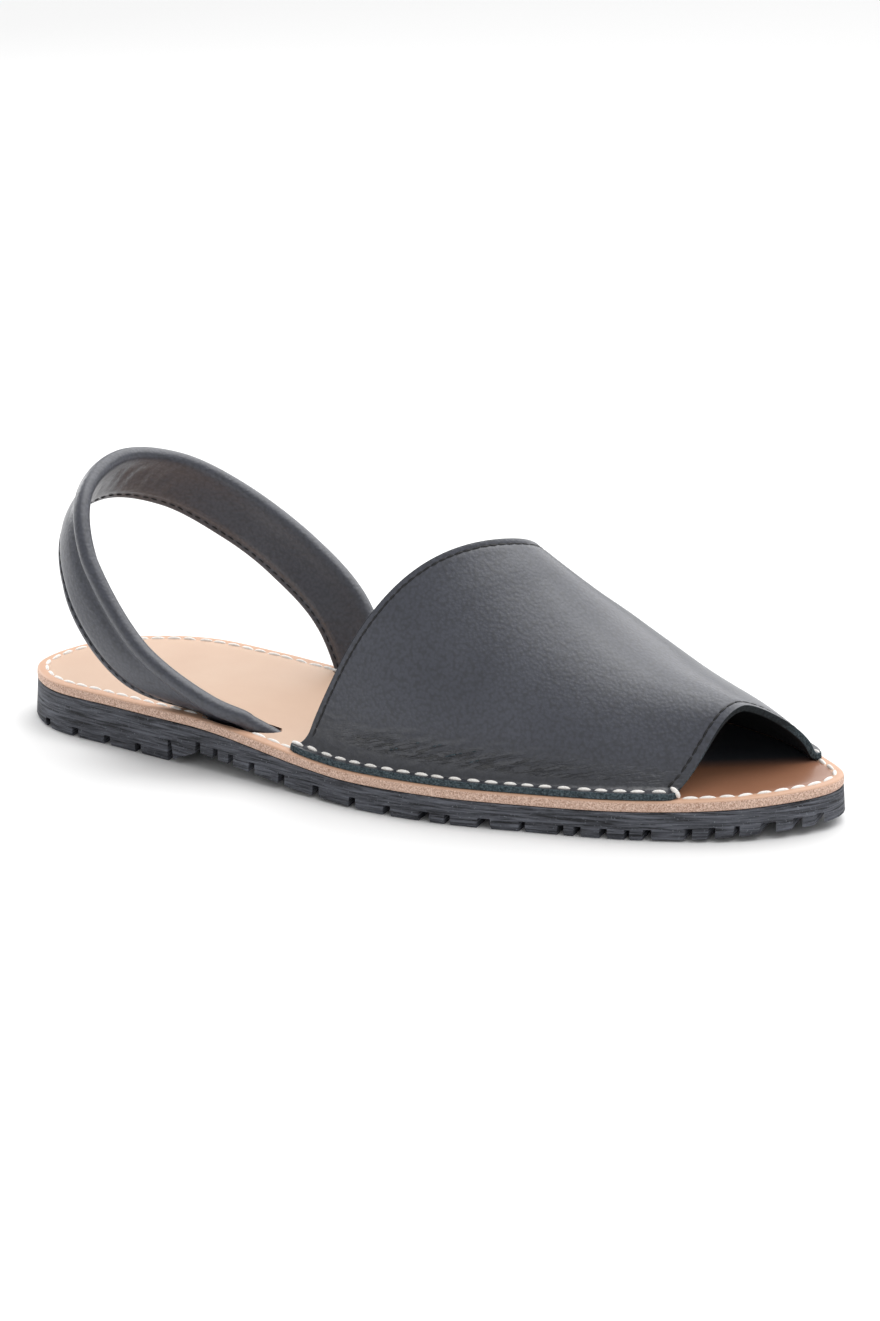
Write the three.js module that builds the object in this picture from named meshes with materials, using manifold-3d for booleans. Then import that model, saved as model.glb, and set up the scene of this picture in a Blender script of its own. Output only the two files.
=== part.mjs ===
// Avarca sandal, right foot, in millimetres.
// +X runs to the toe, +Y to the inner (medial) side of the foot and +Z up.
// The origin is on the floor, under the middle of the sandal's bounding box.
import * as THREE from 'three';
import { mergeVertices } from 'three/addons/utils/BufferGeometryUtils.js';
import Module from 'manifold-3d';

const wasm = await Module();
wasm.setup();

// Driving dimensions
const SOLE_LENGTH = 247;
const SOLE_WIDTH = 86;
const HEEL_RUBBER = 12;
const BALL_RUBBER = 7.3;
const TOE_SPRING = 3;
const FOOTBED_THICK = 3;
const VAMP_THICK = 1.9;
const VAMP_HEIGHT = 59;
const FLANGE_WIDTH = 4.2;
const STRAP_WIDTH = 18.5;
const STRAP_THICK = 3.2;
const STRAP_ROLL = 4.8;
const STRAP_HEIGHT = 73;

// Seats and fits
const SEAT_GAP = 0.3;
const SLOT_CLEARANCE = 0.5;
const EDGE_ROUND = 0.6;
const TREAD_FLARE = 0.8;
const STRAP_TUCK = 9;

// Tread
const HEEL_BREAST = 0.23 * SOLE_LENGTH;
const BREAST_SLIT = { width: 1.2, height: 6.4 };
const WAIST_LIFT = 5.0;
const TOE_LIFT = 2.9;
const GROOVE_DEPTH = 3.0;
const CENTRE_GROOVE = 3;

// Half widths of the sole, as shares of SOLE_WIDTH, at shares of SOLE_LENGTH from heel to toe
const OUTLINE = [
  { at: 0.00, outer: 0.097, inner: -0.097 },
  { at: 0.05, outer: 0.281, inner: 0.222 },
  { at: 0.15, outer: 0.337, inner: 0.345 },
  { at: 0.30, outer: 0.401, inner: 0.303 },
  { at: 0.42, outer: 0.453, inner: 0.335 },
  { at: 0.50, outer: 0.490, inner: 0.388 },
  { at: 0.60, outer: 0.481, inner: 0.460 },
  { at: 0.70, outer: 0.424, inner: 0.507 },
  { at: 0.80, outer: 0.356, inner: 0.490 },
  { at: 0.90, outer: 0.241, inner: 0.372 },
  { at: 0.97, outer: 0.091, inner: 0.200 },
  { at: 1.00, outer: -0.064, inner: 0.064 },
];

// Tread grooves across the sole: place as a share of SOLE_LENGTH, width in millimetres
const GROOVES = [
  { at: 0.044, wide: 3.0 },
  { at: 0.091, wide: 3.2 },
  { at: 0.139, wide: 3.2 },
  { at: 0.186, wide: 3.0 },
  { at: 0.274, wide: 2.4 },
  { at: 0.299, wide: 2.4 },
  { at: 0.321, wide: 2.4 },
  { at: 0.351, wide: 2.8 },
  { at: 0.393, wide: 3.0 },
  { at: 0.441, wide: 3.0 },
  { at: 0.491, wide: 3.0 },
  { at: 0.535, wide: 3.0 },
  { at: 0.580, wide: 4.2 },
  { at: 0.607, wide: 2.2 },
  { at: 0.648, wide: 5.0 },
  { at: 0.690, wide: 2.4 },
  { at: 0.732, wide: 2.4 },
  { at: 0.750, wide: 2.8 },
  { at: 0.778, wide: 2.8 },
  { at: 0.803, wide: 2.0 },
  { at: 0.824, wide: 3.2 },
  { at: 0.866, wide: 2.6 },
  { at: 0.889, wide: 2.4 },
  { at: 0.913, wide: 2.0 },
  { at: 0.942, wide: 5.0 },
  { at: 0.968, wide: 3.0 },
  { at: 0.987, wide: 2.4 },
];

// Vamp sections from throat (row 0) to toe opening (row 1).
// crown: place of the crown across the section; height: share of VAMP_HEIGHT
// lean: wall angle at each foot in degrees; run: flatness of each shoulder
// reach: how far the crown runs ahead of its feet, as a share of VAMP_HEIGHT
const VAMP_ROWS = [
  { row: 0.00, crown: 0.48, height: 0.992, outerLean: 79, innerLean: 90, outerRun: 0.60, innerRun: 0.59, reach: 0.710 },
  { row: 0.35, crown: 0.45, height: 0.733, outerLean: 84, innerLean: 86, outerRun: 0.53, innerRun: 0.52, reach: 0.381 },
  { row: 0.70, crown: 0.43, height: 0.487, outerLean: 72, innerLean: 68, outerRun: 0.47, innerRun: 0.40, reach: 0.106 },
  { row: 1.00, crown: 0.475, height: 0.330, outerLean: 31, innerLean: 69, outerRun: 0.40, innerRun: 0.15, reach: -0.010 },
];

// Where the vamp's feet start and end on each side, as shares of SOLE_LENGTH
const VAMP_FEET = { outer: [0.412, 0.853], inner: [0.470, 0.967] };
const THROAT_PEAK = 0.67;
const THROAT_CURVE = 1.45;
const THROAT_SOFT = 0.1;

// Heel strap from the outer slot round the heel to the inner slot.
// ahead: share of SOLE_LENGTH; side: share of SOLE_WIDTH (inner positive)
// up: share of STRAP_HEIGHT; lean: degrees the top edge leans, positive into the loop on the outer side
const STRAP_ROWS = [
  { ahead: 0.317, side: -0.308, up: 0.177, lean: -60 },
  { ahead: 0.284, side: -0.368, up: 0.252, lean: -58 },
  { ahead: 0.189, side: -0.405, up: 0.412, lean: -14 },
  { ahead: 0.113, side: -0.350, up: 0.718, lean: 12 },
  { ahead: 0.083, side: -0.213, up: 0.929, lean: 32 },
  { ahead: 0.086, side: 0.019, up: 0.997, lean: 30 },
  { ahead: 0.128, side: 0.216, up: 0.933, lean: 18 },
  { ahead: 0.191, side: 0.331, up: 0.786, lean: 2 },
  { ahead: 0.265, side: 0.353, up: 0.620, lean: -11 },
  { ahead: 0.335, side: 0.322, up: 0.430, lean: -24 },
  { ahead: 0.384, side: 0.270, up: 0.174, lean: -31 },
];

// Mesh densities
const SIDE_STEPS = 44;
const ARCH_STEPS = 10;
const VAMP_STEPS = 17;
const STRAP_STEPS = 42;

const COLOURS = {
  rubber: 0x36383d,
  tan: 0xd9b394,
  leather: 0x2b2c30,
};

// Smooth value of one column of a table whose rows are ordered by the column called key
function column(rows, key, name, place) {
  const last = rows.length - 1;
  let i = 0;
  while (i < last - 1 && place > rows[i + 1][key]) i += 1;
  const slope = (k) => {
    const a = rows[Math.max(k - 1, 0)];
    const b = rows[Math.min(k + 1, last)];
    return (b[name] - a[name]) / (b[key] - a[key]);
  };
  const span = rows[i + 1][key] - rows[i][key];
  const t = THREE.MathUtils.clamp((place - rows[i][key]) / span, 0, 1);
  const rise = rows[i + 1][name] - rows[i][name];
  const a = slope(i) * span - rise;
  const b = rise - slope(i + 1) * span;
  return rows[i][name] + rise * t + t * (1 - t) * (a * (1 - t) + b * t);
}

// The outline is followed by its turn: 0 at the heel's end, PI at the toe's end
const turnAt = (share) => Math.acos(1 - 2 * share);
const TURNED = OUTLINE.map((row) => ({ ...row, turn: turnAt(row.at) }));

// Point of the sole's edge, set in by inset; side is -1 for the outer edge and 1 for the inner edge
function edge(side, turn, inset = 0) {
  const name = side < 0 ? 'outer' : 'inner';
  const point = (t) => new THREE.Vector2(
    SOLE_LENGTH * (1 - Math.cos(t)) / 2,
    side * SOLE_WIDTH * column(TURNED, 'turn', name, t),
  );
  const step = 0.02;
  const from = point(Math.max(turn - step, 0));
  const to = point(Math.min(turn + step, Math.PI));
  const along = to.sub(from).normalize();
  const atEnd = turn === 0 || turn === Math.PI;
  const outward = atEnd ? new THREE.Vector2(-Math.cos(turn), 0) : new THREE.Vector2(-side * along.y, side * along.x);
  return point(turn).addScaledVector(outward, -inset);
}

// Top of the rubber: thick heel, thin forefoot, toe turned up a little
function rubberTop(x) {
  const share = x / SOLE_LENGTH;
  const drop = THREE.MathUtils.smoothstep(share, 0.254, 0.469);
  const spring = THREE.MathUtils.clamp((share - 0.674) / 0.326, 0, 1);
  return HEEL_RUBBER + (BALL_RUBBER - HEEL_RUBBER) * drop + TOE_SPRING * spring ** 2;
}
const footbedTop = (x) => rubberTop(x) + SEAT_GAP + FOOTBED_THICK;

// Closed body through rings of points, with its two ends closed by the triangles of cap
function loft(rings, cap) {
  const count = rings[0].length;
  const positions = rings.flat().flatMap((p) => [p.x, p.y, p.z]);
  const index = [];
  for (let r = 0; r < rings.length - 1; r += 1) {
    for (let i = 0; i < count; i += 1) {
      const j = (i + 1) % count;
      const [a, b, c, d] = [r * count + i, r * count + j, (r + 1) * count + j, (r + 1) * count + i];
      index.push(a, b, c, a, c, d);
    }
  }
  const top = (rings.length - 1) * count;
  for (const [a, b, c] of cap) index.push(a, c, b, top + a, top + b, top + c);
  const geometry = new THREE.BufferGeometry();
  geometry.setAttribute('position', new THREE.Float32BufferAttribute(positions, 3));
  geometry.setIndex(index);
  return geometry;
}

// Ring round the sole's edge: heel end, inner side reversed to the toe, outer side back
function soleRing(inset, height) {
  const outer = [];
  const inner = [];
  for (let i = 1; i < SIDE_STEPS; i += 1) {
    outer.push(edge(-1, Math.PI * i / SIDE_STEPS, inset));
    inner.push(edge(1, Math.PI * i / SIDE_STEPS, inset));
  }
  const flat = [edge(1, 0, inset), ...outer, edge(1, Math.PI, inset), ...inner.reverse()];
  return flat.map((p) => new THREE.Vector3(p.x, p.y, height(p.x)));
}

// Rungs from the outer side to the inner side close a sole ring
function soleCap() {
  const count = 2 * SIDE_STEPS;
  const cap = [];
  for (let i = 0; i < SIDE_STEPS; i += 1) {
    const [a, b, c, d] = [i, i + 1, count - i - 1, (count - i) % count];
    if (i > 0) cap.push([a, b, d]);
    if (i < SIDE_STEPS - 1) cap.push([b, c, d]);
  }
  return cap;
}
const SOLE_CAP = soleCap();

// Solids for cuts and joins
function toSolid(geometry) {
  const bare = geometry.clone();
  bare.deleteAttribute('normal');
  bare.deleteAttribute('uv');
  const merged = mergeVertices(bare, 1e-4);
  return new wasm.Manifold(new wasm.Mesh({
    numProp: 3,
    vertProperties: new Float32Array(merged.attributes.position.array),
    triVerts: new Uint32Array(merged.index.array),
  }));
}

function toGeometry(solid) {
  const mesh = solid.getMesh();
  const geometry = new THREE.BufferGeometry();
  const positions = [];
  for (let i = 0; i < mesh.vertProperties.length; i += mesh.numProp) {
    positions.push(...mesh.vertProperties.slice(i, i + 3));
  }
  geometry.setAttribute('position', new THREE.Float32BufferAttribute(positions, 3));
  geometry.setIndex(Array.from(mesh.triVerts));
  return geometry;
}

// Cutter with a side profile of [x, z] points, running right across the sole
function crossCutter(profile) {
  const shape = new THREE.Shape(profile.map(([x, z]) => new THREE.Vector2(x, z)));
  const geometry = new THREE.ExtrudeGeometry(shape, { depth: 2 * SOLE_WIDTH, bevelEnabled: false });
  geometry.rotateX(Math.PI / 2);
  geometry.translate(0, SOLE_WIDTH, 0);
  return toSolid(geometry);
}

// Height of the tread above the floor: flat heel and forefoot, lifted waist, toe and heel's end
const TREAD = [
  [0, 1.4], [0.025, 0], [0.23, 0], [0.2386, 1.0], [0.274, WAIST_LIFT],
  [0.404, WAIST_LIFT * 0.3], [0.524, 0], [0.80, 0], [0.914, TOE_LIFT * 0.55], [1, TOE_LIFT],
];
function treadHeight(share) {
  const i = Math.max(1, TREAD.findIndex(([at]) => at >= share));
  const [[a, za], [b, zb]] = [TREAD[i - 1], TREAD[i]];
  return za + (zb - za) * (share - a) / (b - a);
}

// Rubber outsole: low heel with a slit at its breast, lifted waist, grooved tread
function outsole() {
  const body = loft([
    soleRing(EDGE_ROUND - TREAD_FLARE, () => 0),
    soleRing(-TREAD_FLARE, () => EDGE_ROUND * 2),
    soleRing(0, rubberTop),
  ], SOLE_CAP);
  let solid = toSolid(body);
  const lifted = TREAD.map(([share, z]) => [share * SOLE_LENGTH, z]);
  const below = -2 * GROOVE_DEPTH;
  const [heelEnd, heelFlat] = lifted;
  const breastEnd = HEEL_BREAST + BREAST_SLIT.width;
  const cutters = [
    crossCutter([[-9, below], [heelFlat[0], below], heelFlat, [-9, heelEnd[1] * 2.4]]),
    crossCutter([
      [HEEL_BREAST, below], [lifted[6][0], below], lifted[6], lifted[5], lifted[4],
      [lifted[3][0], lifted[3][1]], [breastEnd, BREAST_SLIT.height], [HEEL_BREAST, BREAST_SLIT.height],
    ]),
    crossCutter([
      lifted[7], [lifted[7][0], below], [SOLE_LENGTH + 9, below], [SOLE_LENGTH + 9, TOE_LIFT], lifted[9], lifted[8],
    ]),
  ];
  for (const { at, wide } of GROOVES) {
    const x = at * SOLE_LENGTH;
    const top = treadHeight(at) + GROOVE_DEPTH;
    cutters.push(crossCutter([
      [x - wide / 2, below], [x + wide / 2, below], [x + wide * 0.35, top], [x - wide * 0.35, top],
    ]));
  }
  for (const [from, to] of [[0.044, 0.186], [0.535, 0.899]]) {
    const length = (to - from) * SOLE_LENGTH;
    const groove = new THREE.BoxGeometry(length, CENTRE_GROOVE, 2 * GROOVE_DEPTH);
    const middle = (from + to) / 2;
    groove.translate(middle * SOLE_LENGTH, middle > 0.5 ? 0.05 * SOLE_WIDTH : 0, 0);
    cutters.push(toSolid(groove));
  }
  for (const cutter of cutters) solid = solid.subtract(cutter);
  return solid;
}

// Leather footbed on the rubber, edge eased at the top
function footbedBoard() {
  return toSolid(loft([
    soleRing(0, (x) => rubberTop(x) + SEAT_GAP),
    soleRing(0, (x) => footbedTop(x) - EDGE_ROUND),
    soleRing(EDGE_ROUND, footbedTop),
  ], SOLE_CAP));
}

// Cubic curve in the plane of a section
function bezier(t, a, b, c, d) {
  const s = 1 - t;
  return s ** 3 * a + 3 * s * s * t * b + 3 * s * t * t * c + t ** 3 * d;
}

// Half of a vamp section: distance in from its foot and height above it
function archHalf(t, span, height, lean, run) {
  const angle = THREE.MathUtils.degToRad(lean);
  const rise = 0.55 * height;
  return {
    across: bezier(t, 0, rise * Math.cos(angle), span - run * span, span),
    up: bezier(t, 0, rise * Math.sin(angle), height, height),
  };
}

// Middle line of the vamp's leather at one row: flange, fold, arch, fold, flange
function vampLine(row) {
  const at = (name) => column(VAMP_ROWS, 'row', name, row);
  const turns = {};
  for (const side of ['outer', 'inner']) {
    const [from, to] = VAMP_FEET[side];
    turns[side] = turnAt(from + (to - from) * row);
  }
  const foot = { outer: edge(-1, turns.outer, FLANGE_WIDTH), inner: edge(1, turns.inner, FLANGE_WIDTH) };
  const rim = { outer: edge(-1, turns.outer, EDGE_ROUND), inner: edge(1, turns.inner, EDGE_ROUND) };
  const lay = SEAT_GAP + VAMP_THICK / 2;
  const width = foot.outer.distanceTo(foot.inner);
  const height = at('height') * VAMP_HEIGHT;
  const crown = at('crown');
  const onArch = (share, up) => {
    const p = foot.outer.clone().lerp(foot.inner, share);
    const base = THREE.MathUtils.lerp(footbedTop(foot.outer.x), footbedTop(foot.inner.x), share) + lay;
    const off = share < THROAT_PEAK
      ? (THROAT_PEAK - share) / THROAT_PEAK
      : (share - THROAT_PEAK) / (1 - THROAT_PEAK);
    const soft = Math.hypot(THREE.MathUtils.clamp(off, 0, 1), THROAT_SOFT) - THROAT_SOFT;
    const whole = Math.hypot(1, THROAT_SOFT) - THROAT_SOFT;
    const ahead = at('reach') * VAMP_HEIGHT * (1 - (soft / whole) ** THROAT_CURVE);
    return new THREE.Vector3(p.x + ahead, p.y, base + up);
  };
  const half = (side) => {
    const points = [];
    const span = side === 'outer' ? crown * width : (1 - crown) * width;
    for (let i = 1; i <= ARCH_STEPS; i += 1) {
      const { across, up } = archHalf(i / ARCH_STEPS, span, height, at(`${side}Lean`), at(`${side}Run`));
      points.push(onArch(side === 'outer' ? across / width : 1 - across / width, up));
    }
    return points;
  };
  // The flange's free corners are rounded off at the throat and at the toe
  const flange = (side) => {
    const corner = Math.min(1, Math.min(row, 1 - row) / 0.05);
    const reach = 0.55 + 0.45 * Math.sqrt(1 - (1 - corner) ** 2);
    const out = rim[side].clone().sub(foot[side]);
    const onBoard = (share) => {
      const p = foot[side].clone().addScaledVector(out, share);
      return new THREE.Vector3(p.x, p.y, footbedTop(p.x) + lay);
    };
    return [onBoard(reach), onBoard(0.45)];
  };
  const outerHalf = half('outer');
  const innerHalf = half('inner');
  const fold = (flat, side) => {
    const foot3 = onArch(side === 'outer' ? 0 : 1, 0);
    const wall = (side === 'outer' ? outerHalf : innerHalf)[0];
    const start = flat[1];
    const end = foot3.clone().lerp(wall, 0.5);
    return [0.33, 0.67].map((t) => new THREE.Vector3(
      (1 - t) ** 2 * start.x + 2 * (1 - t) * t * foot3.x + t * t * end.x,
      (1 - t) ** 2 * start.y + 2 * (1 - t) * t * foot3.y + t * t * end.y,
      (1 - t) ** 2 * start.z + 2 * (1 - t) * t * foot3.z + t * t * end.z,
    )).concat([end]);
  };
  const flatOuter = flange('outer');
  const flatInner = flange('inner');
  return [
    ...flatOuter, ...fold(flatOuter, 'outer'), ...outerHalf,
    ...innerHalf.slice(0, -1).reverse(), ...fold(flatInner, 'inner').reverse(), ...flatInner.reverse(),
  ];
}

// Vamp: one sheet of leather, open at the throat, at the toe and underneath
function vamp() {
  const lines = [];
  for (let i = 0; i <= VAMP_STEPS; i += 1) lines.push(vampLine(i / VAMP_STEPS));
  const clampRow = (i) => Math.max(0, Math.min(lines.length - 1, i));
  const rings = lines.map((line, i) => {
    const outside = [];
    const inside = [];
    line.forEach((point, j) => {
      const ahead = lines[clampRow(i + 1)][j].clone().sub(lines[clampRow(i - 1)][j]);
      const across = line[Math.min(j + 1, line.length - 1)].clone().sub(line[Math.max(j - 1, 0)]);
      const normal = ahead.cross(across).normalize().multiplyScalar(VAMP_THICK / 2);
      outside.push(point.clone().add(normal));
      inside.push(point.clone().sub(normal));
    });
    return outside.reverse().concat(inside);
  });
  const count = rings[0].length;
  const cap = [];
  for (let i = 0; i < count / 2 - 1; i += 1) {
    const [a, b, c, d] = [i, i + 1, count - 2 - i, count - 1 - i];
    cap.push([a, b, c], [a, c, d]);
  }
  return loft(rings, cap);
}

// Strap section, [along the width, outward]: sewn lower edge, flat band, groove, round roll on top
function strapProfile(grow) {
  const half = STRAP_WIDTH / 2 + grow;
  const roll = STRAP_ROLL / 2 + grow;
  const centre = half - roll;
  const band = STRAP_THICK / 2 + grow;
  const seam = band * 0.6;
  const neck = centre - roll;
  const outside = [
    [-half, seam], [-half + 2.3, seam], [-half + 2.9, band], [neck - 2.2, band],
    [neck - 0.5, band * 0.55],
  ];
  const arc = [140, 105, 70, 35, 0, -35, -70, -105, -140].map((degrees) => {
    const angle = THREE.MathUtils.degToRad(degrees);
    return [centre + roll * Math.cos(angle), roll * Math.sin(angle)];
  });
  const inside = [[neck - 1.2, -band], [-half + 2.9, -band], [-half + 2.3, -seam], [-half, -seam]];
  return [...outside, ...arc, ...inside];
}

// Path of the strap's middle, with its ends run on into the slots
function strapPath() {
  const points = STRAP_ROWS.map((row) => new THREE.Vector3(
    row.ahead * SOLE_LENGTH, row.side * SOLE_WIDTH, row.up * STRAP_HEIGHT,
  ));
  const tucked = (end, next) => {
    end.z = footbedTop(end.x) - 0.7 * FOOTBED_THICK;
    return end.clone().addScaledVector(end.clone().sub(next).normalize(), STRAP_TUCK);
  };
  const first = tucked(points[0], points[1]);
  const last = tucked(points.at(-1), points.at(-2));
  return new THREE.CatmullRomCurve3([first, ...points, last]);
}

// Strap swept along its path; grow makes the larger body that cuts the slots
function strapSweep(grow) {
  const path = strapPath();
  const spans = STRAP_ROWS.length + 1;
  const leans = STRAP_ROWS.map((row, i) => ({ place: (i + 1) / spans, lean: row.lean }));
  const profile = strapProfile(grow);
  const rings = [];
  for (let i = 0; i <= STRAP_STEPS; i += 1) {
    const place = i / STRAP_STEPS;
    const centre = path.getPoint(place);
    const along = path.getTangent(place);
    const up = new THREE.Vector3(0, 0, 1).addScaledVector(along, -along.z).normalize();
    const level = along.clone().cross(up);
    const clamped = THREE.MathUtils.clamp(place, leans[0].place, leans[leans.length - 1].place);
    const lean = THREE.MathUtils.degToRad(column(leans, 'place', 'lean', clamped));
    const wide = up.multiplyScalar(Math.cos(lean)).addScaledVector(level, Math.sin(lean));
    const out = wide.clone().cross(along);
    rings.push(profile.map(([w, n]) => centre.clone().addScaledVector(wide, w).addScaledVector(out, n)));
  }
  const flat = profile.map(([w, n]) => new THREE.Vector2(w, n));
  const cap = THREE.ShapeUtils.triangulateShape(flat, []).map(([a, b, c]) => [a, c, b]);
  return toSolid(loft(rings, cap));
}

// Everything above the rubber, in which the strap's tucked ends stop
function aboveRubber() {
  const wide = -SOLE_WIDTH;
  return toSolid(loft([
    soleRing(wide, (x) => rubberTop(THREE.MathUtils.clamp(x, 0, SOLE_LENGTH)) + SEAT_GAP),
    soleRing(wide, () => 3 * STRAP_HEIGHT),
  ], SOLE_CAP));
}

// Assembly
const sandal = new THREE.Group();
sandal.name = 'avarca_sandal';

const finishes = {
  rubber: new THREE.MeshStandardMaterial({ color: COLOURS.rubber, roughness: 0.85, metalness: 0 }),
  tan: new THREE.MeshStandardMaterial({ color: COLOURS.tan, roughness: 0.6, metalness: 0 }),
  leather: new THREE.MeshStandardMaterial({ color: COLOURS.leather, roughness: 0.45, metalness: 0 }),
};

function place(name, geometry, finish) {
  const mesh = new THREE.Mesh(geometry, finishes[finish]);
  mesh.name = name;
  sandal.add(mesh);
}

const slots = strapSweep(SLOT_CLEARANCE);
place('outsole', toGeometry(outsole()), 'rubber');
place('footbed', toGeometry(footbedBoard().subtract(slots)), 'tan');
place('vamp', vamp(), 'leather');
place('heel_strap', toGeometry(strapSweep(0).intersect(aboveRubber())), 'leather');

// Origin under the middle of the bounding box, on the floor
const bounds = new THREE.Box3().setFromObject(sandal);
const middle = bounds.getCenter(new THREE.Vector3());
for (const mesh of sandal.children) mesh.geometry.translate(-middle.x, -middle.y, -bounds.min.z);

export default sandal;
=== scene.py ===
import math

import bpy
import numpy as np
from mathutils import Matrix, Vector


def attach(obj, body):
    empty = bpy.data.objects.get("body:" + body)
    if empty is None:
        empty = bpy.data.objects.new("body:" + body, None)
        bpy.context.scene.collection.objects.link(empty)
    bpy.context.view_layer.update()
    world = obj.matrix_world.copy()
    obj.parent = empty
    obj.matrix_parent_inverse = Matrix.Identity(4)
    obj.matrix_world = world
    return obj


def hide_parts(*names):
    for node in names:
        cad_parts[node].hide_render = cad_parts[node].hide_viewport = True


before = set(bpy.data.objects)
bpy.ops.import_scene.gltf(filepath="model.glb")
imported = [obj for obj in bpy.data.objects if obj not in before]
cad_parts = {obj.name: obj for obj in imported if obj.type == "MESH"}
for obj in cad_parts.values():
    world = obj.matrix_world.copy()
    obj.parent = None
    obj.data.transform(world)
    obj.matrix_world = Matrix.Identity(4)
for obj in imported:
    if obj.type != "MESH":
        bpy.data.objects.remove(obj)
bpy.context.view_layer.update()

# Outsole: one block of black rubber, with a low heel, a slit at its breast and a grooved tread.
# It is cut from a built-up sheet, which leaves fine level lines round its side.
# The maker glues and stitches the footbed on top of it.
MM = 0.001
RUBBER_ROUND = 0.3


def linear(colour):
    """A hex sRGB colour as linear RGBA."""
    channels = [int(colour[i:i + 2], 16) / 255 for i in (1, 3, 5)]
    return [c / 12.92 if c <= 0.04045 else ((c + 0.055) / 1.055) ** 2.4 for c in channels] + [1.0]


def add_node(tree, kind, links=None, **settings):
    """Adds a node; links gives its inputs, each a value or another node's output."""
    made = tree.nodes.new(kind)
    for key, value in settings.items():
        setattr(made, key, value)
    for key, value in (links or {}).items():
        socket = made.inputs[key]
        if isinstance(value, bpy.types.NodeSocket):
            tree.links.new(value, socket)
        else:
            socket.default_value = value
    return made


def new_material(name, **surface):
    """A material with its shader's own values set; gives the material, its tree and the shader."""
    made = bpy.data.materials.new(name)
    made.use_nodes = True
    tree = made.node_tree
    shader = tree.nodes["Principled BSDF"]
    for key, value in surface.items():
        shader.inputs[key.replace("_", " ")].default_value = value
    return made, tree, shader


def activate(piece):
    bpy.ops.object.select_all(action="DESELECT")
    bpy.context.view_layer.objects.active = piece
    piece.select_set(True)


def edit_all(piece, *steps):
    """Runs mesh operators in edit mode with everything selected; each step is (operator, settings)."""
    activate(piece)
    bpy.ops.object.mode_set(mode="EDIT")
    bpy.ops.mesh.select_all(action="SELECT")
    for operator, settings in steps:
        operator(**settings)
    bpy.ops.object.mode_set(mode="OBJECT")


def apply_modifier(piece, kind, **settings):
    activate(piece)
    made = piece.modifiers.new(kind.title(), kind)
    for key, value in settings.items():
        setattr(made, key, value)
    bpy.ops.object.modifier_apply(modifier=made.name)


def copy_of_node(name, node):
    """A free copy of a CAD node, its loose triangles merged."""
    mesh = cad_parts[node].data.copy()
    piece = bpy.data.objects.new(name, mesh)
    bpy.context.scene.collection.objects.link(piece)
    mesh.materials.clear()
    edit_all(
        piece,
        (bpy.ops.mesh.remove_doubles, {"threshold": 0.004 * MM}),
        (bpy.ops.mesh.dissolve_limited, {"angle_limit": math.radians(0.4)}),
    )
    return piece


# Moulded black rubber: matte, a little blue, with level striations and pale flecks from the cut
rubber, tree, shader = new_material("moulded_black_rubber", Roughness=0.72, Specular_IOR_Level=0.42)
place = add_node(tree, "ShaderNodeTexCoord").outputs["Object"]
level = add_node(tree, "ShaderNodeMapping", {"Vector": place, "Scale": (75, 75, 1500)}).outputs["Vector"]
layers = add_node(tree, "ShaderNodeTexNoise", {
    "Vector": level, "Scale": 1.0, "Detail": 5.0, "Roughness": 0.7, "Distortion": 0.5})
broad = add_node(tree, "ShaderNodeMapping", {"Vector": place, "Scale": (26, 26, 420)}).outputs["Vector"]
bands = add_node(tree, "ShaderNodeTexNoise", {"Vector": broad, "Scale": 1.0, "Detail": 3.0})
fleck = add_node(tree, "ShaderNodeTexNoise", {"Vector": place, "Scale": 1900.0, "Detail": 2.0})
fleck_mask = add_node(tree, "ShaderNodeMapRange", {
    "Value": fleck.outputs["Fac"], "From Min": 0.64, "From Max": 0.74})
tone = add_node(tree, "ShaderNodeMapRange", {
    "Value": layers.outputs["Fac"], "From Min": 0.38, "From Max": 0.64})
dark_light = add_node(tree, "ShaderNodeMix", {
    "Factor": tone.outputs["Result"], 6: linear("#1a1b20"), 7: linear("#6a6d76")}, data_type="RGBA")
flecked = add_node(tree, "ShaderNodeMix", {
    "Factor": fleck_mask.outputs["Result"], 6: dark_light.outputs[2], 7: linear("#7b7f87")},
    data_type="RGBA")
tree.links.new(flecked.outputs[2], shader.inputs["Base Color"])
relief = add_node(tree, "ShaderNodeMath", {
    0: layers.outputs["Fac"], 1: bands.outputs["Fac"]}, operation="ADD")
ridges = add_node(tree, "ShaderNodeBump", {
    "Height": relief.outputs[0], "Strength": 0.9, "Distance": 0.7 * MM})
tree.links.new(ridges.outputs["Normal"], shader.inputs["Normal"])

sole = copy_of_node("rubber_sole", "outsole")
apply_modifier(
    sole, "BEVEL", width=RUBBER_ROUND * MM, segments=2, limit_method="ANGLE", angle_limit=math.radians(38))
sole.data.materials.append(rubber)
activate(sole)
bpy.ops.object.shade_smooth_by_angle(angle=math.radians(32))
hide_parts("outsole")
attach(sole, "root")

# Footbed: a board of tan leather 3 mm thick, died out to the sole's outline.
# Two slots near its edges take the ends of the heel strap; its cut edge is bare suede.
# It is worn smooth and browner at the toe, and the white seam is sewn just in from its edge.
SOLE_LENGTH = 247
SOLE_WIDTH = 86
HEEL_RUBBER = 12
BALL_RUBBER = 7.3
TOE_SPRING = 3
BOARD_THICK = 3
SEAT = 0.3
UNDERSIDE = -0.15
POLE_IN = 9
DEEP_IN = 7
FAR_FROM_RIM = 60
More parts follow.
